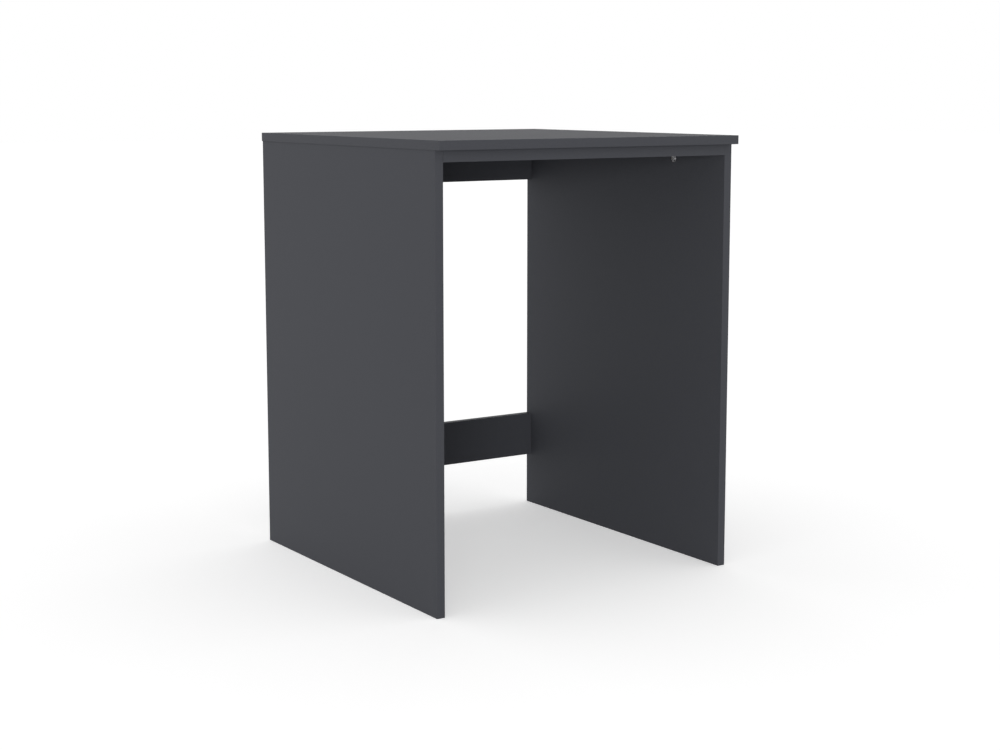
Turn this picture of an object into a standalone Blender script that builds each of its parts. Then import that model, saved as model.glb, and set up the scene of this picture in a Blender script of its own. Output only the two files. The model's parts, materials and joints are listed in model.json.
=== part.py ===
"""Open-fronted laundry cabinet of laminated board, held together by turning cams, bolts and dowels.

Metres, +Z up. The front faces -Y, and the origin is on the floor under the middle of the cabinet.
"""

import math

import bmesh
import bpy
from mathutils import Matrix, Vector

# Cabinet, measured over its edge bands
HEIGHT = 0.900
WIDTH_OVER_SIDES = 0.708
SIDE_DEPTH = 0.715
SIDE_THICKNESS = 0.018
TOP_THICKNESS = 0.018
TOP_FRONT_OVERHANG = 0.019
TOP_SIDE_OVERHANG = 0.002

# Front stretcher, which lies flat under the top
STRETCHER_THICKNESS = 0.022
STRETCHER_DEPTH = 0.100

# Rear rails, which stand on edge and leave the back open between them
RAIL_THICKNESS = 0.018
RAIL_HEIGHT = 0.100
LOWER_RAIL_ABOVE_FLOOR = 0.120

# Edge bands
BAND_THICKNESS = 0.001
BAND_ROUNDING = 0.0007
BAND_ROUNDING_STEPS = 2

# Left between pieces that rest against each other, and round a piece in its bore
SEAT_GAP = 0.0003

# Drilling
DRILL_PITCH = 0.032
SIDE_BOLT_FROM_EDGE = 0.165
BORE_SIDES = 16
CUT_OVERRUN = 0.002

# Connecting bolt
BOLT_DEPTH = 0.009
BOLT_THREAD_LENGTH = 0.011
BOLT_THREAD_RADIUS = 0.0032
BOLT_TIP_RADIUS = 0.0022
BOLT_TIP_LENGTH = 0.0015
BOLT_COLLAR_LENGTH = 0.003
BOLT_COLLAR_RADIUS = 0.0037
BOLT_SHANK_RADIUS = 0.0030
BOLT_NECK_RADIUS = 0.0019
BOLT_NECK_TAPER = 0.0012
BOLT_HEAD_RADIUS = 0.0034
BOLT_SIDES = 12
HEAD_ARC_STEPS = 4

# Cam, a round housing that turns in the board and pulls on the bolt's head
CAM_SETBACK = 0.034
CAM_RADIUS = 0.0075
CAM_CHAMFER = 0.0004
CAM_BELOW_BOLT = 0.0045
CAM_THROW = 0.0006
HEAD_OFF_CAM_AXIS = 0.0004
CAM_ENTRY_SPARE = 0.0005
RECESS_LENGTH = 0.0066
RECESS_WIDTH = 0.0013
RECESS_DEPTH = 0.0026
CAM_SIDES = 24

# Wooden dowel
DOWEL_LENGTH = 0.030
DOWEL_RADIUS = 0.004
DOWEL_CHAMFER = 0.001
DOWEL_IN_FACE = 0.011
DOWEL_GLUE_ROOM = 0.001
DOWEL_SIDES = 12

# Worked out from the sizes above
OUTER_HALF_WIDTH = WIDTH_OVER_SIDES / 2
INNER_HALF_WIDTH = OUTER_HALF_WIDTH - SIDE_THICKNESS
BACK = (SIDE_DEPTH + TOP_FRONT_OVERHANG) / 2
SIDE_FRONT = BACK - SIDE_DEPTH
UNDER_TOP = HEIGHT - TOP_THICKNESS
SIDE_TOP = UNDER_TOP - SEAT_GAP
RAIL_HALF_LENGTH = INNER_HALF_WIDTH - SEAT_GAP
CAM_LENGTH = BOLT_DEPTH + CAM_BELOW_BOLT
CAM_AXIS_FROM_SEAT = SEAT_GAP + CAM_SETBACK
HEAD_FROM_SEAT = CAM_AXIS_FROM_SEAT - HEAD_OFF_CAM_AXIS

SHARP_ANGLE = math.radians(40)
QUARTER_TURN = math.radians(90)
HALF_TURN = math.radians(180)
HEAD_ARC = math.radians(120)
MERGE_DISTANCE = 0.00001

X_AXIS, Y_AXIS, Z_AXIS = Matrix.Identity(3)

# The way that each side of a board faces
OUTWARD = {
    "left": -X_AXIS,
    "right": X_AXIS,
    "front": -Y_AXIS,
    "rear": Y_AXIS,
    "bottom": -Z_AXIS,
    "top": Z_AXIS,
}


# Scene and materials


def clear_scene():
    for obj in list(bpy.data.objects):
        bpy.data.objects.remove(obj)


def make_collection(name, parent):
    collection = bpy.data.collections.get(name) or bpy.data.collections.new(name)
    if name not in parent.children:
        parent.children.link(collection)
    return collection


def make_material(name, colour, roughness, metallic):
    material = bpy.data.materials.new(name)
    material.use_nodes = True
    shader = material.node_tree.nodes["Principled BSDF"]
    shader.inputs["Base Color"].default_value = (*colour, 1)
    shader.inputs["Roughness"].default_value = roughness
    shader.inputs["Metallic"].default_value = metallic
    material.diffuse_color = (*colour, 1)
    return material


clear_scene()
PARTS = make_collection("washing_machine_cabinet", bpy.context.scene.collection)
CUTTERS = make_collection("cutters", bpy.context.scene.collection)
LAMINATE = make_material("graphite_laminate", (0.080, 0.082, 0.090), 0.55, 0.0)
EDGING = make_material("graphite_edging", (0.076, 0.078, 0.086), 0.45, 0.0)
ZINC = make_material("zinc", (0.55, 0.55, 0.56), 0.40, 1.0)
STEEL = make_material("plated_steel", (0.62, 0.61, 0.58), 0.30, 1.0)
BEECH = make_material("beech", (0.62, 0.43, 0.27), 0.60, 0.0)


# Shapes


def block_mesh(name, size):
    """A rectangular block of this size, centred on its origin."""
    shape = bmesh.new()
    bmesh.ops.create_cube(shape, size=1)
    bmesh.ops.scale(shape, vec=size, verts=shape.verts)
    mesh = bpy.data.meshes.new(name)
    shape.to_mesh(mesh)
    shape.free()
    return mesh


def rod_mesh(name, clear_radius, length, sides):
    """A round rod up +Z from its origin, whose flats lie at the clear radius."""
    radius = clear_radius / math.cos(HALF_TURN / sides)
    shape = bmesh.new()
    bmesh.ops.create_cone(
        shape, cap_ends=True, segments=sides, radius1=radius, radius2=radius, depth=length
    )
    bmesh.ops.translate(shape, vec=(0, 0, length / 2), verts=shape.verts)
    mesh = bpy.data.meshes.new(name)
    shape.to_mesh(mesh)
    shape.free()
    mesh.shade_smooth()
    mesh.set_sharp_from_angle(angle=SHARP_ANGLE)
    return mesh


def turned_object(name, profile, sides):
    """The profile, (radius, height) points from the top down the outer side, turned about Z."""
    points = [(radius, 0, height) for radius, height in profile]
    links = [(i, i + 1) for i in range(len(points) - 1)]
    mesh = bpy.data.meshes.new(name)
    mesh.from_pydata(points, links, [])
    turned = bpy.data.objects.new(name, mesh)
    CUTTERS.objects.link(turned)
    screw = turned.modifiers.new("turned", "SCREW")
    screw.steps = sides
    screw.render_steps = sides
    screw.use_merge_vertices = True
    screw.merge_threshold = MERGE_DISTANCE
    return turned


def subtract(target, cutter):
    cut = target.modifiers.new(cutter.name, "BOOLEAN")
    cut.operation = "DIFFERENCE"
    cut.solver = "EXACT"
    cut.object = cutter


def open_bores(board):
    """The collection of the board's bores, which one Boolean cuts together.

    So no bore's cut leaves an edge across the board for the next bore to meet.
    """
    bores = make_collection(f"{board.name}_bores", CUTTERS)
    cut = board.modifiers.new("bores", "BOOLEAN")
    cut.operation = "DIFFERENCE"
    cut.solver = "EXACT"
    cut.operand_type = "COLLECTION"
    cut.collection = bores
    triangles = board.modifiers.new("even triangles", "TRIANGULATE")
    triangles.ngon_method = "BEAUTY"
    return bores


def finished_mesh(obj):
    """The object's mesh with its modifiers applied and its round faces smooth. The object is removed."""
    graph = bpy.context.evaluated_depsgraph_get()
    mesh = bpy.data.meshes.new_from_object(obj.evaluated_get(graph))
    mesh.name = obj.name
    mesh.shade_smooth()
    mesh.set_sharp_from_angle(angle=SHARP_ANGLE)
    for modifier in obj.modifiers:
        if modifier.type == "BOOLEAN":
            bpy.data.objects.remove(modifier.object)
    bpy.data.objects.remove(obj)
    return mesh


# Pieces and cutters


def add_piece(name, mesh, material, parent=None):
    piece = bpy.data.objects.new(name, mesh)
    if not mesh.materials:
        mesh.materials.append(material)
    PARTS.objects.link(piece)
    piece.parent = parent
    return piece


def add_cutter(cutters, name, mesh, parent=None):
    cutter = bpy.data.objects.new(name, mesh)
    cutters.objects.link(cutter)
    cutter.parent = parent
    cutter.hide_render = True
    cutter.display_type = "WIRE"
    return cutter


def add_block(name, low, high, material):
    block = add_piece(name, block_mesh(name, high - low), material)
    block.location = (low + high) / 2
    return block


def facing(side):
    """The number of the axis that this side of a board faces along, and its sign."""
    outward = OUTWARD[side]
    axis = max(range(3), key=lambda i: abs(outward[i]))
    return axis, outward[axis]


def add_band(name, low, high, side, round_ends):
    """The thin strip that closes one edge of the board in this box, with its outer arrises rounded."""
    axis, sign = facing(side)
    low, high = low.copy(), high.copy()
    if sign < 0:
        high[axis] = low[axis] + BAND_THICKNESS
    else:
        low[axis] = high[axis] - BAND_THICKNESS
    band = add_block(name, low, high, EDGING)
    size = high - low
    run = max(range(3), key=lambda i: size[i])
    weights = band.data.attributes.new("bevel_weight_edge", "FLOAT", "EDGE")
    for edge in band.data.edges:
        start, end = (band.data.vertices[i].co for i in edge.vertices)
        outer = start[axis] * sign > 0 and end[axis] * sign > 0
        if outer and (round_ends or start[run] != end[run]):
            weights.data[edge.index].value = 1
    rounding = band.modifiers.new("rounded arrises", "BEVEL")
    rounding.limit_method = "WEIGHT"
    rounding.width = BAND_ROUNDING
    rounding.segments = BAND_ROUNDING_STEPS


def add_board(name, low, high, long_bands, short_bands=()):
    """A board that fills this box together with its edge bands. It gives back the board's bores.

    Long bands reach the board's corners, and short bands run between them. Where short bands close
    both ends, all four corners show, and the long bands' ends are rounded too.
    """
    inset = BAND_THICKNESS + SEAT_GAP
    core_low, core_high = low.copy(), high.copy()
    short_low, short_high = low.copy(), high.copy()
    for side in (*long_bands, *short_bands):
        axis, sign = facing(side)
        core = core_low if sign < 0 else core_high
        core[axis] -= sign * inset
        if side in long_bands:
            short = short_low if sign < 0 else short_high
            short[axis] = core[axis]
    for side in long_bands:
        add_band(f"{name}_{side}_band", low, high, side, len(short_bands) == 2)
    for side in short_bands:
        add_band(f"{name}_{side}_band", short_low, short_high, side, False)
    return open_bores(add_block(name, core_low, core_high, LAMINATE))


# Connecting fittings


def bolt_mesh():
    """The connecting bolt along Z. It screws in below z = 0, and its round head is at the top."""
    neck_start = HEAD_FROM_SEAT - math.sqrt(BOLT_HEAD_RADIUS**2 - BOLT_NECK_RADIUS**2)
    neck_end = CAM_AXIS_FROM_SEAT - CAM_RADIUS - SEAT_GAP
    collar_top = SEAT_GAP + BOLT_COLLAR_LENGTH
    profile = [(0, HEAD_FROM_SEAT + BOLT_HEAD_RADIUS)]
    for step in range(1, HEAD_ARC_STEPS + 1):
        turn = HEAD_ARC * step / HEAD_ARC_STEPS
        across = BOLT_HEAD_RADIUS * math.sin(turn)
        profile.append((across, HEAD_FROM_SEAT + BOLT_HEAD_RADIUS * math.cos(turn)))
    profile += [
        (BOLT_NECK_RADIUS, neck_start),
        (BOLT_NECK_RADIUS, neck_end),
        (BOLT_SHANK_RADIUS, neck_end - BOLT_NECK_TAPER),
        (BOLT_SHANK_RADIUS, collar_top),
        (BOLT_COLLAR_RADIUS, collar_top),
        (BOLT_COLLAR_RADIUS, SEAT_GAP),
        (BOLT_THREAD_RADIUS, SEAT_GAP),
        (BOLT_THREAD_RADIUS, BOLT_TIP_LENGTH - BOLT_THREAD_LENGTH),
        (BOLT_TIP_RADIUS, -BOLT_THREAD_LENGTH),
        (0, -BOLT_THREAD_LENGTH),
    ]
    return finished_mesh(turned_object("connecting_bolt", profile, BOLT_SIDES))


def dowel_mesh():
    """The dowel along Z, with its chamfered end in the drilled face below z = 0."""
    top = DOWEL_LENGTH - DOWEL_IN_FACE
    bottom = -DOWEL_IN_FACE
    end_radius = DOWEL_RADIUS - DOWEL_CHAMFER
    profile = [
        (0, top),
        (end_radius, top),
        (DOWEL_RADIUS, top - DOWEL_CHAMFER),
        (DOWEL_RADIUS, bottom + DOWEL_CHAMFER),
        (end_radius, bottom),
        (0, bottom),
    ]
    return finished_mesh(turned_object("dowel", profile, DOWEL_SIDES))


def cam_mesh():
    """The cam, locked: its axis is Z, its driver face is at z = 0 and the bolt comes in along +X.

    Its off-centre pocket is open below. A slot as high as the bolt's neck runs half way round from
    the bolt to the entry, which is wide enough for the head and meets the bolt after half a turn.
    """
    end_radius = CAM_RADIUS - CAM_CHAMFER
    profile = [
        (0, 0),
        (end_radius, 0),
        (CAM_RADIUS, -CAM_CHAMFER),
        (CAM_RADIUS, CAM_CHAMFER - CAM_LENGTH),
        (end_radius, -CAM_LENGTH),
        (0, -CAM_LENGTH),
    ]
    cam = turned_object("cam", profile, CAM_SIDES)
    reach = CAM_RADIUS + CUT_OVERRUN
    below = CAM_LENGTH + CUT_OVERRUN
    ceiling = BOLT_DEPTH - BOLT_HEAD_RADIUS - SEAT_GAP

    pocket_radius = BOLT_HEAD_RADIUS + HEAD_OFF_CAM_AXIS + CAM_THROW + SEAT_GAP
    pocket = rod_mesh("cam_pocket", pocket_radius, below - ceiling, CAM_SIDES)
    pocket = add_cutter(CUTTERS, "cam_pocket", pocket)
    pocket.location = (-CAM_THROW, 0, -below)

    slot_half = BOLT_NECK_RADIUS + SEAT_GAP
    slot_size = Vector((2 * reach, reach + slot_half, 2 * slot_half))
    slot = add_cutter(CUTTERS, "cam_slot", block_mesh("cam_slot", slot_size))
    slot.location = (0, (slot_half - reach) / 2, -BOLT_DEPTH)

    entry_half = BOLT_HEAD_RADIUS + CAM_ENTRY_SPARE
    entry_size = Vector((reach, 2 * entry_half, below - ceiling))
    entry = add_cutter(CUTTERS, "cam_entry", block_mesh("cam_entry", entry_size))
    entry.location = (-reach / 2, 0, -(ceiling + below) / 2)

    for cutter in (pocket, slot, entry):
        subtract(cam, cutter)
    for name, turn in (("cam_recess_long", 0), ("cam_recess_cross", QUARTER_TURN)):
        recess_size = Vector((RECESS_LENGTH, RECESS_WIDTH, 2 * RECESS_DEPTH))
        recess = add_cutter(CUTTERS, name, block_mesh(name, recess_size))
        recess.rotation_euler = (0, 0, turn)
        subtract(cam, recess)
    return finished_mesh(cam)


def drill(bores, name, frame, clear_radius, depth, sides, location, rotation):
    """A round hole among a board's bores, from just outside its face, in the frame's axes."""
    mesh = rod_mesh(name, clear_radius, CUT_OVERRUN + depth, sides)
    rod = add_cutter(bores, name, mesh, frame)
    rod.location = location
    rod.rotation_euler = rotation


def add_fitting(name, meshes, seat, into, opens, face_bores, end_bores, dowel_steps):
    """A cam, a bolt and dowels that join the end of one board to the face of another.

    The frame's origin is on the face, where the bolt goes in. Its Z runs into the end of the other
    board, and its X towards the face of that board that the cam is set in.
    """
    across = into.cross(opens)
    frame = bpy.data.objects.new(f"{name}_fitting", None)
    PARTS.objects.link(frame)
    frame.location = seat
    frame.rotation_euler = Matrix((opens, across, into)).transposed().to_euler()

    add_piece(f"{name}_bolt", meshes["bolt"], STEEL, frame)
    cam = add_piece(f"{name}_cam", meshes["cam"], ZINC, frame)
    cam.location = (BOLT_DEPTH, 0, CAM_AXIS_FROM_SEAT)
    cam.rotation_euler = (0, QUARTER_TURN, 0)

    into_face = (HALF_TURN, 0, 0)
    into_end = (0, 0, 0)
    drill(
        end_bores,
        f"{name}_cam_bore",
        frame,
        CAM_RADIUS + SEAT_GAP,
        CAM_LENGTH + SEAT_GAP,
        CAM_SIDES,
        (BOLT_DEPTH + CUT_OVERRUN, 0, CAM_AXIS_FROM_SEAT),
        (0, -QUARTER_TURN, 0),
    )
    drill(
        end_bores,
        f"{name}_bolt_end_bore",
        frame,
        BOLT_COLLAR_RADIUS + SEAT_GAP,
        CAM_SETBACK,
        BORE_SIDES,
        (0, 0, SEAT_GAP - CUT_OVERRUN),
        into_end,
    )
    drill(
        face_bores,
        f"{name}_bolt_face_bore",
        frame,
        BOLT_THREAD_RADIUS + SEAT_GAP,
        BOLT_THREAD_LENGTH + SEAT_GAP,
        BORE_SIDES,
        (0, 0, CUT_OVERRUN),
        into_face,
    )
    for number, step in enumerate(dowel_steps, start=1):
        aside = step.dot(across)
        dowel = add_piece(f"{name}_dowel_{number}", meshes["dowel"], BEECH, frame)
        dowel.location = (0, aside, 0)
        drill(
            face_bores,
            f"{name}_dowel_face_bore_{number}",
            frame,
            DOWEL_RADIUS + SEAT_GAP,
            DOWEL_IN_FACE + DOWEL_GLUE_ROOM,
            BORE_SIDES,
            (0, aside, CUT_OVERRUN),
            into_face,
        )
        drill(
            end_bores,
            f"{name}_dowel_end_bore_{number}",
            frame,
            DOWEL_RADIUS + SEAT_GAP,
            DOWEL_LENGTH - DOWEL_IN_FACE - SEAT_GAP + DOWEL_GLUE_ROOM,
            BORE_SIDES,
            (0, aside, SEAT_GAP - CUT_OVERRUN),
            into_end,
        )


# The cabinet


def add_top():
    half_width = OUTER_HALF_WIDTH + TOP_SIDE_OVERHANG
    low = Vector((-half_width, SIDE_FRONT - TOP_FRONT_OVERHANG, UNDER_TOP))
    high = Vector((half_width, BACK, HEIGHT))
    return add_board("top_board", low, high, ("front", "rear"), ("left", "right"))


def add_side(hand):
    sign = OUTWARD[hand].x
    faces = sorted((sign * INNER_HALF_WIDTH, sign * OUTER_HALF_WIDTH))
    low = Vector((faces[0], SIDE_FRONT, 0))
    high = Vector((faces[1], BACK, SIDE_TOP))
    return add_board(f"{hand}_side", low, high, ("front", "rear"), ("bottom",))


def add_stretcher():
    low = Vector((-RAIL_HALF_LENGTH, SIDE_FRONT, SIDE_TOP - STRETCHER_THICKNESS))
    high = Vector((RAIL_HALF_LENGTH, SIDE_FRONT + STRETCHER_DEPTH, SIDE_TOP))
    return add_board("front_stretcher", low, high, ("front", "rear"))


def add_rail(name, bottom, bands):
    low = Vector((-RAIL_HALF_LENGTH, BACK - RAIL_THICKNESS, bottom))
    high = Vector((RAIL_HALF_LENGTH, BACK, bottom + RAIL_HEIGHT))
    return add_board(name, low, high, bands)


def build_cabinet():
    meshes = {"bolt": bolt_mesh(), "cam": cam_mesh(), "dowel": dowel_mesh()}
    upper_rail_bottom = SIDE_TOP - RAIL_HEIGHT
    top = add_top()
    stretcher = add_stretcher()
    upper_rail = add_rail("rear_upper_rail", upper_rail_bottom, ("bottom",))
    lower_rail = add_rail("rear_lower_rail", LOWER_RAIL_ABOVE_FLOOR, ("bottom", "top"))

    stretcher_bolt_y = SIDE_FRONT + STRETCHER_DEPTH / 2
    stretcher_bolt_z = SIDE_TOP - STRETCHER_THICKNESS + BOLT_DEPTH
    rail_bolt_y = BACK - BOLT_DEPTH
    upper_bolt_z = upper_rail_bottom + RAIL_HEIGHT / 2
    lower_bolt_z = LOWER_RAIL_ABOVE_FLOOR + RAIL_HEIGHT / 2
    cross_boards = (
        ("stretcher", stretcher, stretcher_bolt_y, stretcher_bolt_z, -Z_AXIS, Y_AXIS),
        ("upper_rail", upper_rail, rail_bolt_y, upper_bolt_z, Y_AXIS, Z_AXIS),
        ("lower_rail", lower_rail, rail_bolt_y, lower_bolt_z, Y_AXIS, Z_AXIS),
    )
    side_bolts = (
        ("front", SIDE_FRONT + SIDE_BOLT_FROM_EDGE, -DRILL_PITCH * Y_AXIS),
        ("rear", BACK - SIDE_BOLT_FROM_EDGE, DRILL_PITCH * Y_AXIS),
    )
    for hand in ("left", "right"):
        side = add_side(hand)
        outward = OUTWARD[hand]
        for name, board, y, z, opens, line in cross_boards:
            seat = INNER_HALF_WIDTH * outward + y * Y_AXIS + z * Z_AXIS
            steps = (-DRILL_PITCH * line, DRILL_PITCH * line)
            add_fitting(
                f"{name}_{hand}", meshes, seat, -outward, opens, side, board, steps
            )
        for place, y, step in side_bolts:
            from_middle = INNER_HALF_WIDTH + BOLT_DEPTH
            seat = from_middle * outward + y * Y_AXIS + UNDER_TOP * Z_AXIS
            add_fitting(
                f"{hand}_side_{place}", meshes, seat, -Z_AXIS, -outward, top, side, (step,)
            )


build_cabinet()
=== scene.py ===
"""Looks for the laundry cabinet: its edging, fittings, finishes, light and camera.

Metres, +Z up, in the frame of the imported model. The front faces -Y.
"""

import json
import math

import bmesh
import bpy
from mathutils import Matrix, Vector

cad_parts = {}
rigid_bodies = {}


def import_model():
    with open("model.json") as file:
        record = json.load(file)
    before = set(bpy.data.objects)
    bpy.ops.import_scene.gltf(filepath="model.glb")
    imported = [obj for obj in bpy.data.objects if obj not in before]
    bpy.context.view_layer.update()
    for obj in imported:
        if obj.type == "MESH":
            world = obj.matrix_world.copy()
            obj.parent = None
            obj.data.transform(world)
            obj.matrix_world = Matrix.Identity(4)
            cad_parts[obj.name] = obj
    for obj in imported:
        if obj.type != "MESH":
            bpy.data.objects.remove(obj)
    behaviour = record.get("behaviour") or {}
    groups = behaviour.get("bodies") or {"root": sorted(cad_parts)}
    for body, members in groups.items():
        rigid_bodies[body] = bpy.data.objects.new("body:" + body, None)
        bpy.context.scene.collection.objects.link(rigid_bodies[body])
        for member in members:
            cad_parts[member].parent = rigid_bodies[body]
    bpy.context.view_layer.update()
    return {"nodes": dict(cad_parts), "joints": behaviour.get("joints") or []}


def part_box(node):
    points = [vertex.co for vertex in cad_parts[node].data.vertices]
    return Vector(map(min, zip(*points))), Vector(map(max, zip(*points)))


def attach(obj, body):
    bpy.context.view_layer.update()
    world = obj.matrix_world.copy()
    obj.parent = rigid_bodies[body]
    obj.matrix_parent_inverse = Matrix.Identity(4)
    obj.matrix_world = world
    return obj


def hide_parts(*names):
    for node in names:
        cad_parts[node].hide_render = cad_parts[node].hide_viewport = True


for leftover in list(bpy.data.objects):
    bpy.data.objects.remove(leftover)
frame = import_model()
BOXES = {node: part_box(node) for node in frame["nodes"]}
bpy.ops.object.select_all(action="DESELECT")

# The boards, each with the axis across its two laminated faces
BOARDS = {
    "top_board": 2,
    "front_stretcher": 2,
    "left_side": 0,
    "right_side": 0,
    "rear_upper_rail": 1,
    "rear_lower_rail": 1,
}
BORE_SIDES = 64

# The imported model's gap between a board or a strip of edging and its seat, and the one left here
SEAM = 0.0003
GLUE_LINE = 0.0001

# Edging, the plastic strip glued on a board's cut edge
ARRIS_RADIUS = 0.0007
ARRIS_STEPS = 5

# Cam housing, in its own frame: its axis is Z, its driver face is at z = 0 and the bolt is at +X
BOLT_DEPTH = 0.009
BOLT_HEAD_RADIUS = 0.0034
BOLT_NECK_RADIUS = 0.0019
HEAD_OFF_CAM_AXIS = 0.0004
CAM_THROW = 0.0006
CAM_ENTRY_SPARE = 0.0005
CAM_SIDES = 64
CAM_RIM_ROUNDING = 0.0004
CAM_RIM_STEPS = 3
CAM_LAND = 0.0009
CAM_RING_DEPTH = 0.0004
CAM_BOSS_RADIUS = 0.0041
RECESS_LENGTH = 0.0066
RECESS_WIDTH = 0.0013
RECESS_DEPTH = 0.0026
RECESS_FLOOR_SHARE = 0.7
ARROW_CORNERS = 3
ARROW_RADIUS = 0.0014
ARROW_FROM_AXIS = 0.0051
ARROW_HEIGHT = 0.00034

# Connecting bolt, in its own frame: Z runs from the thread to the head and z = 0 is the drilled face
BOLT_SIDES = 40
BOLT_COLLAR_RADIUS = 0.0037
BOLT_COLLAR_LENGTH = 0.003
BOLT_SHANK_RADIUS = 0.0030
BOLT_NECK_TAPER = 0.0012
BOLT_ROOT_RADIUS = 0.0023
BOLT_TIP_RADIUS = 0.0014
BOLT_TIP_LENGTH = 0.0016
BOLT_HEAD_STEPS = 8
BOLT_HEAD_FLAT_SHARE = 0.25
THREAD_RADIUS = 0.0032
THREAD_LENGTH = 0.011
THREAD_PITCH = 0.0022
THREAD_POINTS_PER_TURN = 20
THREAD_END_SHARE = 0.35

# Wooden dowel
DOWEL_FLUTES = 20
POINTS_PER_FLUTE = 3
DOWEL_CHAMFER = 0.001
DOWEL_FLUTE_DEPTH = 0.00035

# Finishes. Colours are linear, cells are counted to a metre and heights are in metres. A span is the
# stretch of a pattern's values that counts, and the shares or the roughness are what its ends become.
WHITE = (1, 1, 1, 1)
ALL_OF_NOISE = (0, 1)
MOST_OF_NOISE = (0.3, 0.7)

# Graphite melamine, and the edging's smoother and scraped version of it
GRAPHITE = (0.0545, 0.0566, 0.0655)
GRAPHITE_DEEP = (0.0522, 0.0542, 0.0627)
GRAPHITE_LIGHT = (0.0830, 0.0855, 0.0955)
MELAMINE_THICKNESS = 0.0002
MELAMINE_SPECULAR = 0.11
MELAMINE_ROUGHNESS = (0.52, 0.66)
TONE_CELLS = 3
PRINT_CELLS = 1650
PRINT_SPAN = (0.43, 0.63)
PRINT_SHARES = (0, 0.5)
PEARL_CELLS = 2200
PEARL_HEIGHT = 0.000055
WAVE_CELLS = 55
WAVE_HEIGHT = 0.00006
EDGING_SMOOTHER = 0.05
SCRAPED_SPAN = (0.72, 0.97)
SCRAPED_SHARES = (0.2, 0)

# Chipboard
CHIP_DARK = (0.20, 0.115, 0.055)
CHIP_MIDDLE = (0.42, 0.28, 0.16)
CHIP_PALE = (0.62, 0.46, 0.29)
CHIP_CELLS = 420
DUST_CELLS = 1500
DUST_SPAN = (0.4, 0.7)
DUST_SHARES = (0, 0.5)

# Cast zinc
ZINC = (0.52, 0.52, 0.53)
ZINC_STAINED = (0.36, 0.36, 0.37)
ZINC_ROUGHNESS = (0.34, 0.5)
STAIN_CELLS = 320
STAIN_SPAN = (0.35, 0.7)
CAST_CELLS = 3200
CAST_HEIGHT = 0.00002

# Plated steel
STEEL = (0.62, 0.61, 0.58)
STEEL_STRAW = (0.64, 0.58, 0.44)
STEEL_ROUGHNESS = (0.22, 0.36)
TINT_CELLS = 240
SCRATCH_CELLS = 2600
SCRATCH_HEIGHT = 0.00001

# Beech
BEECH = (0.62, 0.42, 0.26)
BEECH_DEEP = (0.46, 0.27, 0.15)
BEECH_FLECK = (0.30, 0.16, 0.08)
BEECH_SPECULAR = 0.3
BEECH_ROUGHNESS = (0.52, 0.68)
BEECH_GRAIN_SHARE = 0.06
FIBRE_CELLS = 1400
FIBRE_HEIGHT = 0.00006
FLECK_CELLS = 2600
FLECK_SPAN = (0.62, 0.72)
FLECK_SHARES = (0, 0.6)

# Studio
CAMERA_PLACE = (-2.0341, -3.1202, 0.9896)
CAMERA_HEADING = 0.5816
CAMERA_PITCH = math.radians(7.86)
CAMERA_SENSOR = 36
CAMERA_LENS = 63.71
CAMERA_SHIFT = -0.04
FLOOR_SIZE = 60
FLOOR_ROUGHNESS = 0.9
FLOOR_COLOUR = (0.9, 0.9, 0.9)
FLOOR_LIFT = 0.38
SKY_STRENGTH = 0.73
KEY_STRENGTH = 1.2
KEY_TURN = (math.radians(87), 0, math.radians(-37))
KEY_ANGLE = math.radians(12)

# Cuts, clearance, merging and turns
CUT_OVERRUN = 0.002
FIT_CLEARANCE = 0.0003
MERGE_DISTANCE = 0.000001
SHARP_ANGLE = math.radians(35)
FACING_SHARE = 0.9
QUARTER_TURN = math.radians(90)
HALF_TURN = math.radians(180)

X_AXIS, Y_AXIS, Z_AXIS = Matrix.Identity(3)

# The sockets of a Mix node that take two colours, and the one that gives their mix
MIX_INPUTS = (6, 7)
MIX_OUTPUT = 2


# Places


def middle_of(box):
    low, high = box
    return (low + high) / 2


def size_along(box, direction):
    """The box's size along an axis, given by a direction that points either way along it."""
    low, high = box
    return abs((high - low).dot(direction))


def is_inside(point, box):
    low, high = box
    return all(a < p < b for a, p, b in zip(low, point, high))


def boxes_meet(first, second):
    """True where two boxes share some space."""
    (low, high), (other_low, other_high) = first, second
    return all(other_low[axis] < high[axis] and other_high[axis] > low[axis] for axis in range(3))


# Nodes of a material


def new_finish(name, metallic=0.0, specular=0.5):
    """A Principled material, its node tree and its shader."""
    finish = bpy.data.materials.new(name)
    finish.use_nodes = True
    shader = finish.node_tree.nodes["Principled BSDF"]
    shader.inputs["Metallic"].default_value = metallic
    shader.inputs["Specular IOR Level"].default_value = specular
    return finish, finish.node_tree, shader


def link_surface(tree, shader, colour, roughness, normal):
    """Feeds the shader its colour, roughness and normal."""
    tree.links.new(colour, shader.inputs["Base Color"])
    tree.links.new(roughness, shader.inputs["Roughness"])
    tree.links.new(normal, shader.inputs["Normal"])


def add_node(tree, kind, **values):
    """A new node, with each value set on its socket or its property of that name."""
    node = tree.nodes.new(kind)
    for key, value in values.items():
        if key in node.inputs:
            node.inputs[key].default_value = value
        else:
            setattr(node, key, value)
    return node


def object_coordinates(tree):
    return add_node(tree, "ShaderNodeTexCoord").outputs["Object"]


def add_noise(tree, coordinates, cells, detail=2.0, roughness=0.5):
    """The value, from 0 to 1, of a noise with this many cells to a metre."""
    noise = add_node(tree, "ShaderNodeTexNoise", Scale=cells, Detail=detail, Roughness=roughness)
    tree.links.new(coordinates, noise.inputs["Vector"])
    return noise.outputs["Fac"]


def map_range(tree, value, span, ends):
    """The value brought from this span to these ends, and held between them."""
    mapped = add_node(tree, "ShaderNodeMapRange")
    mapped.inputs["From Min"].default_value, mapped.inputs["From Max"].default_value = span
    mapped.inputs["To Min"].default_value, mapped.inputs["To Max"].default_value = ends
    tree.links.new(value, mapped.inputs["Value"])
    return mapped.outputs["Result"]


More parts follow.
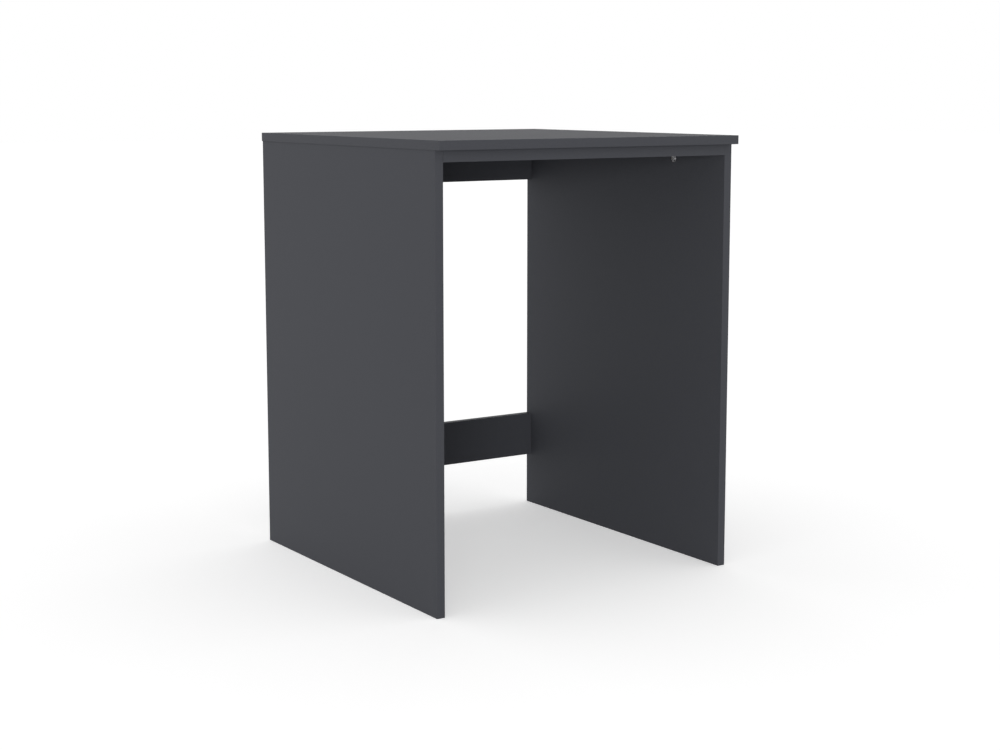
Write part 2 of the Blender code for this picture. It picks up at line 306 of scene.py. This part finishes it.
def math_node(tree, operation, *values):
    """The result of this operation on one or two values, each a socket or a number."""
    node = add_node(tree, "ShaderNodeMath", operation=operation)
    for socket, value in zip(node.inputs, values):
        if isinstance(value, bpy.types.NodeSocket):
            tree.links.new(value, socket)
        else:
            socket.default_value = value
    return node.outputs["Value"]


def mix_colours(tree, factor, first, second):
    """A mix of two colours, each a socket or a linear RGB triple."""
    mix = add_node(tree, "ShaderNodeMix", data_type="RGBA")
    tree.links.new(factor, mix.inputs["Factor"])
    for number, value in zip(MIX_INPUTS, (first, second)):
        if isinstance(value, bpy.types.NodeSocket):
            tree.links.new(value, mix.inputs[number])
        else:
            mix.inputs[number].default_value = (*value, 1)
    return mix.outputs[MIX_OUTPUT]


def add_bump(tree, height, distance, strength, under=None):
    """The normal of a surface that rises by this distance as the height goes from 0 to 1."""
    bump = add_node(tree, "ShaderNodeBump", Strength=strength, Distance=distance)
    tree.links.new(height, bump.inputs["Height"])
    if under is not None:
        tree.links.new(under, bump.inputs["Normal"])
    return bump.outputs["Normal"]


# Finishes


def graphite_nodes(tree, coordinates):
    """Colour, roughness and normal of matt graphite melamine: a fine pearl over a faint unevenness."""
    tone = add_noise(tree, coordinates, TONE_CELLS, detail=3)
    pearl = add_noise(tree, coordinates, PEARL_CELLS)
    print_grain = add_noise(tree, coordinates, PRINT_CELLS, detail=3, roughness=0.6)
    base = mix_colours(tree, tone, GRAPHITE_DEEP, GRAPHITE)
    speck = map_range(tree, print_grain, PRINT_SPAN, PRINT_SHARES)
    colour = mix_colours(tree, speck, base, GRAPHITE_LIGHT)
    roughness = map_range(tree, pearl, MOST_OF_NOISE, MELAMINE_ROUGHNESS)
    waves = add_noise(tree, coordinates, WAVE_CELLS)
    uneven = add_bump(tree, waves, WAVE_HEIGHT, strength=0.25)
    normal = add_bump(tree, pearl, PEARL_HEIGHT, strength=0.9, under=uneven)
    return colour, roughness, normal


def chipboard_nodes(tree, coordinates):
    """Colour of pressed wood chips, as a bore or a sawn edge shows them."""
    chips = add_node(tree, "ShaderNodeTexVoronoi", Scale=CHIP_CELLS)
    tree.links.new(coordinates, chips.inputs["Vector"])
    shade = add_node(tree, "ShaderNodeRGBToBW")
    tree.links.new(chips.outputs["Color"], shade.inputs["Color"])
    flakes = mix_colours(tree, shade.outputs["Val"], CHIP_DARK, CHIP_PALE)
    dust = add_noise(tree, coordinates, DUST_CELLS, detail=4, roughness=0.7)
    return mix_colours(tree, map_range(tree, dust, DUST_SPAN, DUST_SHARES), flakes, CHIP_MIDDLE)


def make_board_finish(name, node, axis):
    """Graphite melamine on the board's two faces across this axis, and chipboard between them."""
    low, high = BOXES[node]
    middle = (low[axis] + high[axis]) / 2
    half = (high[axis] - low[axis]) / 2
    finish, tree, shader = new_finish(name, specular=MELAMINE_SPECULAR)
    coordinates = object_coordinates(tree)
    parts = add_node(tree, "ShaderNodeSeparateXYZ")
    tree.links.new(coordinates, parts.inputs["Vector"])
    from_middle = math_node(tree, "SUBTRACT", parts.outputs[axis], middle)
    from_middle = math_node(tree, "ABSOLUTE", from_middle)
    on_face = math_node(tree, "GREATER_THAN", from_middle, half - MELAMINE_THICKNESS)
    colour, roughness, normal = graphite_nodes(tree, coordinates)
    colour = mix_colours(tree, on_face, chipboard_nodes(tree, coordinates), colour)
    link_surface(tree, shader, colour, roughness, normal)
    return finish


def make_edging_finish():
    """Graphite ABS: the melamine's colour, a little smoother, and lighter on its scraped arrises."""
    finish, tree, shader = new_finish("graphite_abs", specular=MELAMINE_SPECULAR)
    coordinates = object_coordinates(tree)
    colour, roughness, normal = graphite_nodes(tree, coordinates)
    facing = add_node(tree, "ShaderNodeNewGeometry").outputs["Normal"]
    size = add_node(tree, "ShaderNodeVectorMath", operation="ABSOLUTE")
    tree.links.new(facing, size.inputs[0])
    parts = add_node(tree, "ShaderNodeSeparateXYZ")
    tree.links.new(size.outputs["Vector"], parts.inputs["Vector"])
    steepest = math_node(tree, "MAXIMUM", parts.outputs[0], parts.outputs[1])
    steepest = math_node(tree, "MAXIMUM", steepest, parts.outputs[2])
    scraped = map_range(tree, steepest, SCRAPED_SPAN, SCRAPED_SHARES)
    colour = mix_colours(tree, scraped, colour, GRAPHITE_LIGHT)
    roughness = math_node(tree, "SUBTRACT", roughness, EDGING_SMOOTHER)
    link_surface(tree, shader, colour, roughness, normal)
    return finish


def make_zinc_finish():
    """Zinc casting: a dull grey skin with fine grain and a few darker stains from the mould."""
    finish, tree, shader = new_finish("die_cast_zinc", metallic=1.0)
    coordinates = object_coordinates(tree)
    stains = add_noise(tree, coordinates, STAIN_CELLS, detail=4, roughness=0.6)
    grain = add_noise(tree, coordinates, CAST_CELLS)
    stained = map_range(tree, stains, STAIN_SPAN, ALL_OF_NOISE)
    colour = mix_colours(tree, stained, ZINC, ZINC_STAINED)
    roughness = map_range(tree, stains, MOST_OF_NOISE, ZINC_ROUGHNESS)
    normal = add_bump(tree, grain, CAST_HEIGHT, strength=0.35)
    link_surface(tree, shader, colour, roughness, normal)
    return finish


def make_steel_finish():
    """Zinc-plated steel with the faint straw tint of its passivation."""
    finish, tree, shader = new_finish("plated_steel", metallic=1.0)
    coordinates = object_coordinates(tree)
    tint = add_noise(tree, coordinates, TINT_CELLS, detail=3, roughness=0.6)
    scratches = add_noise(tree, coordinates, SCRATCH_CELLS)
    colour = mix_colours(tree, tint, STEEL, STEEL_STRAW)
    roughness = map_range(tree, tint, ALL_OF_NOISE, STEEL_ROUGHNESS)
    normal = add_bump(tree, scratches, SCRATCH_HEIGHT, strength=0.3)
    link_surface(tree, shader, colour, roughness, normal)
    return finish


def make_beech_finish(name, axis):
    """Beech whose grain runs along this axis, with its short dark flecks."""
    finish, tree, shader = new_finish(name, specular=BEECH_SPECULAR)
    stretch = add_node(tree, "ShaderNodeMapping")
    scale = Vector((1, 1, 1))
    scale[axis] = BEECH_GRAIN_SHARE
    stretch.inputs["Scale"].default_value = scale
    tree.links.new(object_coordinates(tree), stretch.inputs["Vector"])
    grained = stretch.outputs["Vector"]
    fibres = add_noise(tree, grained, FIBRE_CELLS, detail=4, roughness=0.6)
    flecks = add_noise(tree, grained, FLECK_CELLS, detail=1)
    deep = map_range(tree, fibres, MOST_OF_NOISE, ALL_OF_NOISE)
    wood = mix_colours(tree, deep, BEECH, BEECH_DEEP)
    flecked = map_range(tree, flecks, FLECK_SPAN, FLECK_SHARES)
    colour = mix_colours(tree, flecked, wood, BEECH_FLECK)
    roughness = map_range(tree, fibres, ALL_OF_NOISE, BEECH_ROUGHNESS)
    normal = add_bump(tree, fibres, FIBRE_HEIGHT, strength=0.4)
    link_surface(tree, shader, colour, roughness, normal)
    return finish


# Modelling by hand


def take_active(name):
    """The primitive that was just added, named, with its place, turn and size in its mesh."""
    piece = bpy.context.active_object
    piece.name = name
    piece.data.name = name
    bpy.ops.object.transform_apply(location=True, rotation=True, scale=True)
    return piece


def select_only(piece):
    bpy.ops.object.select_all(action="DESELECT")
    piece.select_set(True)
    bpy.context.view_layer.objects.active = piece


def pick(piece, kind, wanted):
    """In edit mode, selects just the verts, edges or faces that pass the test."""
    bpy.ops.mesh.select_mode(type={"verts": "VERT", "edges": "EDGE", "faces": "FACE"}[kind])
    bpy.ops.mesh.select_all(action="DESELECT")
    shape = bmesh.from_edit_mesh(piece.data)
    for element in getattr(shape, kind):
        if wanted(element):
            element.select_set(True)
    shape.select_flush_mode()
    bmesh.update_edit_mesh(piece.data)


def turn_profile(name, profile, sides):
    """A turned solid: a disc pulled up Z and resized from one (radius, height) point to the next."""
    radius, height = profile[0]
    bpy.ops.mesh.primitive_circle_add(
        vertices=sides, radius=radius, fill_type="NGON", location=(0, 0, height)
    )
    piece = take_active(name)
    bpy.ops.object.mode_set(mode="EDIT")
    bpy.ops.mesh.select_all(action="SELECT")
    for next_radius, next_height in profile[1:]:
        rise = (0, 0, next_height - height)
        bpy.ops.mesh.extrude_region_move(TRANSFORM_OT_translate={"value": rise})
        share = next_radius / radius
        bpy.ops.transform.resize(value=(share, share, 1), center_override=(0, 0, 0))
        radius, height = next_radius, next_height
    bpy.ops.mesh.select_all(action="SELECT")
    bpy.ops.mesh.normals_make_consistent(inside=False)
    bpy.ops.object.mode_set(mode="OBJECT")
    return piece


def apply_boolean(piece, other, operation):
    """Cuts the other shape from the piece, or joins it on, and removes it."""
    select_only(piece)
    boolean = piece.modifiers.new(other.name, "BOOLEAN")
    boolean.operation = operation
    boolean.solver = "EXACT"
    boolean.object = other
    bpy.ops.object.modifier_apply(modifier=boolean.name)
    bpy.data.objects.remove(other)


def merge_doubles(piece):
    """Merges the points that a cut or a join left on top of each other."""
    select_only(piece)
    bpy.ops.object.mode_set(mode="EDIT")
    bpy.ops.mesh.select_all(action="SELECT")
    bpy.ops.mesh.remove_doubles(threshold=MERGE_DISTANCE)
    bpy.ops.mesh.dissolve_degenerate(threshold=MERGE_DISTANCE)
    bpy.ops.object.mode_set(mode="OBJECT")


def add_block(name, low, high):
    """A block between two corners."""
    bpy.ops.mesh.primitive_cube_add(size=1, location=(low + high) / 2, scale=high - low)
    return take_active(name)


def shade_round(piece):
    """Shades the piece smooth, but for its sharp edges."""
    select_only(piece)
    bpy.ops.object.shade_smooth_by_angle(angle=SHARP_ANGLE)


def finish_piece(piece, finish, body, node):
    """Gives a finished piece its finish, and puts it on its body in the place of this node."""
    piece.data.materials.clear()
    piece.data.materials.append(finish)
    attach(piece, body)
    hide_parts(node)


def place_copy(pattern, name, turn, origin):
    """A copy of the pattern, with its own mesh, turned by a 3 by 3 matrix and moved to the origin."""
    piece = pattern.copy()
    piece.data = pattern.data.copy()
    piece.name = name
    piece.data.name = name
    bpy.context.scene.collection.objects.link(piece)
    piece.data.transform(Matrix.Translation(origin) @ turn.to_4x4())
    return piece


# Boards


def is_seat(node, axis):
    """True for a board, and for a strip of edging across whose thickness this axis doesn't run."""
    size = BOXES[node][1] - BOXES[node][0]
    return node in BOARDS or (node.endswith("_band") and size[axis] > min(size))


def seated_box(node):
    """The node's box, with each side that faces a seat brought to within a glue line of it.

    The top and its edging keep their height, because what stands under them comes up to them.
    """
    low, high = (corner.copy() for corner in BOXES[node])
    for corner, outward in ((low, -1), (high, 1)):
        for axis in range(2 if node.startswith("top_board") else 3):
            probe = middle_of(BOXES[node])
            probe[axis] = corner[axis] + 2 * outward * SEAM
            seats = [BOXES[other] for other in BOXES if other != node and is_seat(other, axis)]
            if any(is_inside(probe, seat) for seat in seats):
                corner[axis] += outward * (SEAM - GLUE_LINE)
    return low, high


def add_bore(low, high, fitting):
    """The cutter of this fitting's bore, run out through a side of the board that it comes near."""
    fitting_low, fitting_high = BOXES[fitting]
    size = fitting_high - fitting_low
    width = sorted(size)[1]
    axis = max(range(3), key=lambda i: abs(size[i] - width))
    start = fitting_low[axis] - FIT_CLEARANCE
    end = fitting_high[axis] + FIT_CLEARANCE
    if start < low[axis] + CUT_OVERRUN:
        start = low[axis] - CUT_OVERRUN
    if end > high[axis] - CUT_OVERRUN:
        end = high[axis] + CUT_OVERRUN
    centre = middle_of(BOXES[fitting])
    centre[axis] = (start + end) / 2
    along = (X_AXIS, Y_AXIS, Z_AXIS)[axis]
    bpy.ops.mesh.primitive_cylinder_add(
        vertices=BORE_SIDES,
        radius=width / 2 + FIT_CLEARANCE,
        depth=end - start,
        location=centre,
        rotation=Z_AXIS.rotation_difference(along).to_euler(),
    )
    return take_active(f"{fitting}_bore")


def make_board(node, finish):
    """The board in the place of this node, pulled up to its seats, with round bores for its fittings."""
    low, high = seated_box(node)
    board = add_block(f"{node}_panel", low, high)
    bores = bpy.data.collections.new(f"{node}_bores")
    for other in sorted(frame["nodes"]):
        is_fitting = other not in BOARDS and not other.endswith("_band")
        if is_fitting and boxes_meet((low, high), BOXES[other]):
            bores.objects.link(add_bore(low, high, other))
    select_only(board)
    boolean = board.modifiers.new("bores", "BOOLEAN")
    boolean.operand_type = "COLLECTION"
    boolean.collection = bores
    bpy.ops.object.modifier_apply(modifier=boolean.name)
    for bore in list(bores.objects):
        bpy.data.objects.remove(bore)
    bpy.data.collections.remove(bores)
    finish_piece(board, finish, "carcass", node)


# Edging


def make_edging(node, finish):
    """The strip in the place of this band, glued to its board, with its outer arrises scraped."""
    board, side = node.removesuffix("_band").rsplit("_", 1)
    low, high = seated_box(node)
    size = high - low
    axis = min(range(3), key=lambda i: size[i])
    run = max(range(3), key=lambda i: size[i])
    is_high = low[axis] > middle_of(BOXES[board])[axis]
    outer = high[axis] if is_high else low[axis]
    strip = add_block(f"{board}_{side}_edging", low, high)
    round_ends = board == "top_board" and side in ("front", "rear")

    def is_arris(edge):
        start, end = (vert.co for vert in edge.verts)
        to_outside = max(abs(start[axis] - outer), abs(end[axis] - outer))
        along = abs(start[run] - end[run]) > MERGE_DISTANCE
        return to_outside < MERGE_DISTANCE and (along or round_ends)

    bpy.ops.object.mode_set(mode="EDIT")
    pick(strip, "edges", is_arris)
    bpy.ops.mesh.bevel(offset=ARRIS_RADIUS, segments=ARRIS_STEPS, affect="EDGES")
    bpy.ops.object.mode_set(mode="OBJECT")
    shade_round(strip)
    finish_piece(strip, finish, "carcass", node)


# Fittings


def rounded_rim(radius, height, upward):
    """Profile points of the cam's rounded rim, upper or lower, from the bottom up."""
    points = []
    for step in range(CAM_RIM_STEPS + 1):
        turn = QUARTER_TURN * step / CAM_RIM_STEPS
        if upward:
            inward, up = 1 - math.cos(turn), math.sin(turn) - 1
        else:
            inward, up = 1 - math.sin(turn), 1 - math.cos(turn)
        points.append((radius - CAM_RIM_ROUNDING * inward, height + CAM_RIM_ROUNDING * up))
    return points


def make_recess(name, turned):
    """One bar of the driver's cross, tapered towards its floor."""
    half = Vector((RECESS_LENGTH, RECESS_WIDTH, 0)) / 2
    bar = add_block(name, -half - RECESS_DEPTH * Z_AXIS, half + CUT_OVERRUN * Z_AXIS)
    bpy.ops.object.mode_set(mode="EDIT")
    pick(bar, "faces", lambda face: face.normal.z < -FACING_SHARE)
    share = RECESS_FLOOR_SHARE
    bpy.ops.transform.resize(value=(share, share, 1), center_override=(0, 0, 0))
    bpy.ops.object.mode_set(mode="OBJECT")
    if turned:
        bar.data.transform(Matrix.Rotation(QUARTER_TURN, 4, "Z"))
    return bar


def make_cam_pattern():
    """The cam housing, locked, with its off-centre pocket, slot, entry, driver's cross and arrow."""
    low, high = BOXES["stretcher_left_cam"]
    radius = (high.x - low.x) / 2
    length = high.z - low.z
    profile = rounded_rim(radius, -length, upward=False) + rounded_rim(radius, 0, upward=True)
    cam = turn_profile("cam_pattern", profile, CAM_SIDES)

    def is_driver_face(face):
        return face.normal.z > FACING_SHARE and face.calc_center_median().z > -MERGE_DISTANCE

    bpy.ops.object.mode_set(mode="EDIT")
    pick(cam, "faces", is_driver_face)
    bpy.ops.mesh.inset(thickness=CAM_LAND)
    bpy.ops.transform.translate(value=(0, 0, -CAM_RING_DEPTH))
    ring_width = radius - CAM_RIM_ROUNDING - CAM_LAND - CAM_BOSS_RADIUS
    bpy.ops.mesh.inset(thickness=ring_width)
    bpy.ops.mesh.extrude_region_move(TRANSFORM_OT_translate={"value": (0, 0, CAM_RING_DEPTH)})
    bpy.ops.object.mode_set(mode="OBJECT")

    reach = radius + CUT_OVERRUN
    below = length + CUT_OVERRUN
    ceiling = BOLT_DEPTH - BOLT_HEAD_RADIUS - FIT_CLEARANCE
    pocket_radius = BOLT_HEAD_RADIUS + HEAD_OFF_CAM_AXIS + CAM_THROW + FIT_CLEARANCE
    bpy.ops.mesh.primitive_cylinder_add(
        vertices=CAM_SIDES,
        radius=pocket_radius,
        depth=below - ceiling,
        location=(-CAM_THROW, 0, -(below + ceiling) / 2),
    )
    apply_boolean(cam, take_active("pocket"), "DIFFERENCE")
    slot_half = BOLT_NECK_RADIUS + FIT_CLEARANCE
    slot_low = Vector((-reach, -reach, -BOLT_DEPTH - slot_half))
    slot_high = Vector((reach, slot_half, -BOLT_DEPTH + slot_half))
    apply_boolean(cam, add_block("slot", slot_low, slot_high), "DIFFERENCE")
    entry_half = BOLT_HEAD_RADIUS + CAM_ENTRY_SPARE
    entry_low = Vector((-reach, -entry_half, -below))
    entry_high = Vector((0, entry_half, -ceiling))
    apply_boolean(cam, add_block("entry", entry_low, entry_high), "DIFFERENCE")
    apply_boolean(cam, make_recess("recess_long", False), "DIFFERENCE")
    apply_boolean(cam, make_recess("recess_cross", True), "DIFFERENCE")

    bpy.ops.mesh.primitive_cylinder_add(
        vertices=ARROW_CORNERS,
        radius=ARROW_RADIUS,
        depth=2 * ARROW_HEIGHT,
        location=(-ARROW_FROM_AXIS, 0, -CAM_RING_DEPTH),
        rotation=(0, 0, QUARTER_TURN),
    )
    apply_boolean(cam, take_active("arrow"), "UNION")
    merge_doubles(cam)
    shade_round(cam)
    return cam


def make_thread():
    """The ridge of the bolt's thread, a tapered tube wound round the core."""
    turns = THREAD_LENGTH / THREAD_PITCH - 1
    count = round(turns * THREAD_POINTS_PER_TURN)
    curve = bpy.data.curves.new("thread", "CURVE")
    curve.dimensions = "3D"
    curve.twist_mode = "Z_UP"
    curve.bevel_depth = THREAD_RADIUS - BOLT_ROOT_RADIUS
    curve.bevel_resolution = 0
    curve.use_fill_caps = True
    spline = curve.splines.new("POLY")
    spline.points.add(count)
    start = BOLT_TIP_LENGTH / 2 - THREAD_LENGTH
    for number, point in enumerate(spline.points):
        turn = math.tau * number / THREAD_POINTS_PER_TURN
        height = start + THREAD_PITCH * number / THREAD_POINTS_PER_TURN
        along = BOLT_ROOT_RADIUS * math.cos(turn), BOLT_ROOT_RADIUS * math.sin(turn)
        point.co = (*along, height, 1)
        to_end = min(number, count - number) / THREAD_POINTS_PER_TURN
        point.radius = min(1, THREAD_END_SHARE + to_end)
    ridge = bpy.data.objects.new("thread", curve)
    bpy.context.scene.collection.objects.link(ridge)
    select_only(ridge)
    bpy.ops.object.convert(target="MESH")
    bpy.ops.object.mode_set(mode="EDIT")
    bpy.ops.mesh.select_all(action="SELECT")
    bpy.ops.mesh.remove_doubles(threshold=MERGE_DISTANCE)
    bpy.ops.mesh.normals_make_consistent(inside=False)
    bpy.ops.object.mode_set(mode="OBJECT")
    return bpy.context.active_object


def make_bolt_pattern():
    """The connecting bolt, from its tip in the drilled face to its ball head in the cam."""
    low, high = BOXES["stretcher_left_bolt"]
    cam_low, cam_high = BOXES["stretcher_left_cam"]
    head_centre = high.x - low.x - THREAD_LENGTH - BOLT_HEAD_RADIUS
    cam_axis = head_centre + HEAD_OFF_CAM_AXIS
    neck_start = cam_axis - (cam_high.x - cam_low.x) / 2 - FIT_CLEARANCE
    collar_top = FIT_CLEARANCE + BOLT_COLLAR_LENGTH
    profile = [
        (BOLT_TIP_RADIUS, -THREAD_LENGTH),
        (BOLT_ROOT_RADIUS, BOLT_TIP_LENGTH - THREAD_LENGTH),
        (BOLT_ROOT_RADIUS, FIT_CLEARANCE),
        (BOLT_COLLAR_RADIUS, FIT_CLEARANCE),
        (BOLT_COLLAR_RADIUS, collar_top),
        (BOLT_SHANK_RADIUS, collar_top),
        (BOLT_SHANK_RADIUS, neck_start - BOLT_NECK_TAPER),
        (BOLT_NECK_RADIUS, neck_start),
    ]
    first = math.asin(BOLT_NECK_RADIUS / BOLT_HEAD_RADIUS)
    last = HALF_TURN - math.asin(BOLT_HEAD_FLAT_SHARE)
    for step in range(BOLT_HEAD_STEPS + 1):
        turn = first + (last - first) * step / BOLT_HEAD_STEPS
        height = head_centre - BOLT_HEAD_RADIUS * math.cos(turn)
        profile.append((BOLT_HEAD_RADIUS * math.sin(turn), height))
    bolt = turn_profile("bolt_pattern", profile, BOLT_SIDES)
    apply_boolean(bolt, make_thread(), "UNION")
    merge_doubles(bolt)
    shade_round(bolt)
    return bolt


def make_dowel_pattern():
    """The fluted dowel up Z, centred on its middle."""
    low, high = BOXES["stretcher_left_dowel_1"]
    length = high.x - low.x
    radius = (high.z - low.z) / 2
    top = length / 2
    end_radius = radius - DOWEL_CHAMFER
    shoulder = top - DOWEL_CHAMFER
    profile = [(end_radius, -top), (radius, -shoulder), (radius, shoulder), (end_radius, top)]
    sides = POINTS_PER_FLUTE * DOWEL_FLUTES
    dowel = turn_profile("dowel_pattern", profile, sides)

    def in_flute(vert):
        number = round(math.atan2(vert.co.y, vert.co.x) / math.tau * sides)
        return number % POINTS_PER_FLUTE == 0 and abs(vert.co.z) < top - MERGE_DISTANCE

    bpy.ops.object.mode_set(mode="EDIT")
    pick(dowel, "verts", in_flute)
    share = 1 - DOWEL_FLUTE_DEPTH / radius
    bpy.ops.transform.resize(value=(share, share, 1), center_override=(0, 0, 0))
    bpy.ops.object.mode_set(mode="OBJECT")
    return dowel


def fit_joint(joint, patterns, finishes):
    """The cam, bolt and dowels of one fitting, set by the cam's joint and the boxes of the nodes."""
    name = joint["child"].removesuffix("_cam")
    opens = Vector(joint["axis"])
    cam_box = BOXES[f"{name}_cam"]
    bolt_box = BOXES[f"{name}_bolt"]
    into = middle_of(cam_box) - middle_of(bolt_box)
    into -= into.dot(opens) * opens
    into.normalize()
    across = into.cross(opens)

    face = middle_of(cam_box) + size_along(cam_box, opens) / 2 * opens
    cam_turn = Matrix((-into, across, opens)).transposed()
    cam = place_copy(patterns["cam"], f"{name}_cam_housing", cam_turn, face)
    finish_piece(cam, finishes["zinc"], f"{name}_cam", f"{name}_cam")

    seat = middle_of(bolt_box) + (THREAD_LENGTH - size_along(bolt_box, into) / 2) * into
    bolt_turn = Matrix((opens, across, into)).transposed()
    bolt = place_copy(patterns["bolt"], f"{name}_connecting_bolt", bolt_turn, seat)
    finish_piece(bolt, finishes["steel"], "carcass", f"{name}_bolt")

    grain = "beech_upright" if abs(into.z) > abs(into.x) else "beech_across"
    for node in frame["nodes"]:
        if node.startswith(f"{name}_dowel_"):
            dowel_name = node.replace("_dowel_", "_fluted_dowel_")
            dowel = place_copy(patterns["dowel"], dowel_name, bolt_turn, middle_of(BOXES[node]))
            finish_piece(dowel, finishes[grain], "carcass", node)


# The cabinet


def dress_cabinet():
    """Puts a finished piece in the place of every node."""
    for node, axis in BOARDS.items():
        make_board(node, make_board_finish(f"{node}_melamine", node, axis))
    edging = make_edging_finish()
    for node in sorted(frame["nodes"]):
        if node.endswith("_band"):
            make_edging(node, edging)
    finishes = {
        "zinc": make_zinc_finish(),
        "steel": make_steel_finish(),
        "beech_across": make_beech_finish("beech_across", 0),
        "beech_upright": make_beech_finish("beech_upright", 2),
    }
    patterns = {
        "cam": make_cam_pattern(),
        "bolt": make_bolt_pattern(),
        "dowel": make_dowel_pattern(),
    }
    for joint in frame["joints"]:
        fit_joint(joint, patterns, finishes)
    for pattern in patterns.values():
        bpy.data.objects.remove(pattern)


# Studio


def background_share(tree):
    """1 for rays from the camera, or mirrored or bent by a surface, and 0 for rays that bring light."""
    rays = add_node(tree, "ShaderNodeLightPath").outputs
    seen = math_node(tree, "MAXIMUM", rays["Is Camera Ray"], rays["Is Glossy Ray"])
    return math_node(tree, "MAXIMUM", seen, rays["Is Transmission Ray"])


def light_world():
    """A white sky, as bright as the background where it is seen, and dimmer where it lights."""
    world = bpy.data.worlds.new("white_studio")
    world.use_nodes = True
    bpy.context.scene.world = world
    tree = world.node_tree
    background = tree.nodes["Background"]
    background.inputs["Color"].default_value = WHITE
    strength = map_range(tree, background_share(tree), (0, 1), (SKY_STRENGTH, 1))
    tree.links.new(strength, background.inputs["Strength"])


def add_floor():
    """A white floor that keeps the shadow, and that the camera sees as white as the background."""
    bpy.ops.mesh.primitive_plane_add(size=FLOOR_SIZE)
    floor = take_active("floor")
    finish, tree, shader = new_finish("white_floor", specular=0.0)
    shader.inputs["Base Color"].default_value = (*FLOOR_COLOUR, 1)
    shader.inputs["Roughness"].default_value = FLOOR_ROUGHNESS
    shader.inputs["Emission Color"].default_value = WHITE
    lift = map_range(tree, background_share(tree), (0, 1), (0, FLOOR_LIFT))
    tree.links.new(lift, shader.inputs["Emission Strength"])
    floor.data.materials.append(finish)


def add_key_light():
    """A low sun behind the camera, broad enough to soften its shadows."""
    light = bpy.data.lights.new("key", "SUN")
    light.energy = KEY_STRENGTH
    light.angle = KEY_ANGLE
    key = bpy.data.objects.new("key", light)
    key.rotation_euler = KEY_TURN
    bpy.context.scene.collection.objects.link(key)


def add_camera():
    """The photograph's view, from the front left and slightly above."""
    lens = bpy.data.cameras.new("camera")
    lens.sensor_width = CAMERA_SENSOR
    lens.lens = CAMERA_LENS
    lens.shift_y = CAMERA_SHIFT
    camera = bpy.data.objects.new("camera", lens)
    camera.location = CAMERA_PLACE
    camera.rotation_euler = (QUARTER_TURN - CAMERA_PITCH, 0, -CAMERA_HEADING)
    bpy.context.scene.collection.objects.link(camera)
    bpy.context.scene.camera = camera


dress_cabinet()
light_world()
add_floor()
add_key_light()
add_camera()
bpy.context.scene.view_settings.view_transform = "Standard"
